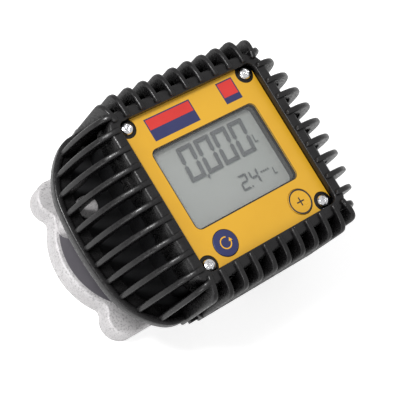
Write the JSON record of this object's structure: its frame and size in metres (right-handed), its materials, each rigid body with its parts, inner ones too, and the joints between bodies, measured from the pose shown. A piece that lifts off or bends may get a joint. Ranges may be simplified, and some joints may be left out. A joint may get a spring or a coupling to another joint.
{
  "type": "turbine flow meter",
  "caption": "Liquid flow meter with a cast body and threaded ports, an axial turbine rotor, and a display head with round keys in a ribbed rubber boot.",
  "frame": {"origin": "centre of the flat back of the meter body, under the middle of the whole part", "axes": "+Z out of the display, +X to the display's right, +Y up the display and along the flow"},
  "size_m": [0.146, 0.11, 0.082],
  "materials": {
    "cast_aluminium": "fine sand-cast grain",
    "label_dark": "matt film",
    "white_plastic": "moulded",
    "bearing_plastic": "turned",
    "spring_steel": "bright",
    "strainer_steel": "punched",
    "rotor_plastic": "moulded",
    "magnet": "nickel plated",
    "black_plastic": "moulded",
    "lead_insulation": "smooth",
    "gasket_rubber": "smooth",
    "screw_steel": "bright plated",
    "board_green": "solder mask",
    "display_glass": "grey-green display",
    "strip_rubber": "smooth",
    "battery_sleeve": "plain sleeve",
    "yellow_film": "satin film",
    "clear_window": "clear",
    "navy_button": "satin",
    "yellow_button": "satin with a black ring",
    "boot_rubber": "semi-matt moulded rubber"
  },
  "bodies": {
    "meter": {"meter_body": "cast_aluminium", "body_label": "label_dark", "inlet_straightener": "white_plastic", "outlet_straightener": "white_plastic", "inlet_bearing": "bearing_plastic", "outlet_bearing": "bearing_plastic", "retaining_rings": "spring_steel", "inlet_strainer": "strainer_steel", "pickup_sensor": "black_plastic", "sensor_leads": "lead_insulation", "base_gasket": "gasket_rubber", "display_housing": "black_plastic", "housing_screws": "screw_steel", "circuit_board": "board_green", "button_switches": "black_plastic", "display_module": "display_glass", "display_strips": "strip_rubber", "display_holder": "black_plastic", "upper_battery": "battery_sleeve", "lower_battery": "battery_sleeve", "battery_contacts": "spring_steel", "panel_gasket": "gasket_rubber", "front_panel": "black_plastic", "panel_film": "yellow_film", "window_lens": "clear_window", "panel_screws": "screw_steel", "rubber_boot": "boot_rubber"},
    "turbine": {"rotor": "rotor_plastic", "rotor_shaft": "spring_steel", "rotor_magnets": "magnet"},
    "reset_key": {"reset_button": "navy_button"},
    "cal_key": {"cal_button": "yellow_button"}
  },
  "joints": [
    {"name": "rotor_spin", "type": "hinge", "parent": "meter", "child": "turbine", "pos_m": [0, 0, 0.0195], "axis": [0, 1, 0], "continuous": true},
    {"name": "reset_press", "type": "slide", "parent": "meter", "child": "reset_key", "axis": [0, 0, -1], "range_m": [0, 0.0008], "stiffness_N_per_m": 800},
    {"name": "cal_press", "type": "slide", "parent": "meter", "child": "cal_key", "axis": [0, 0, -1], "range_m": [0, 0.0008], "stiffness_N_per_m": 800}
  ]
}
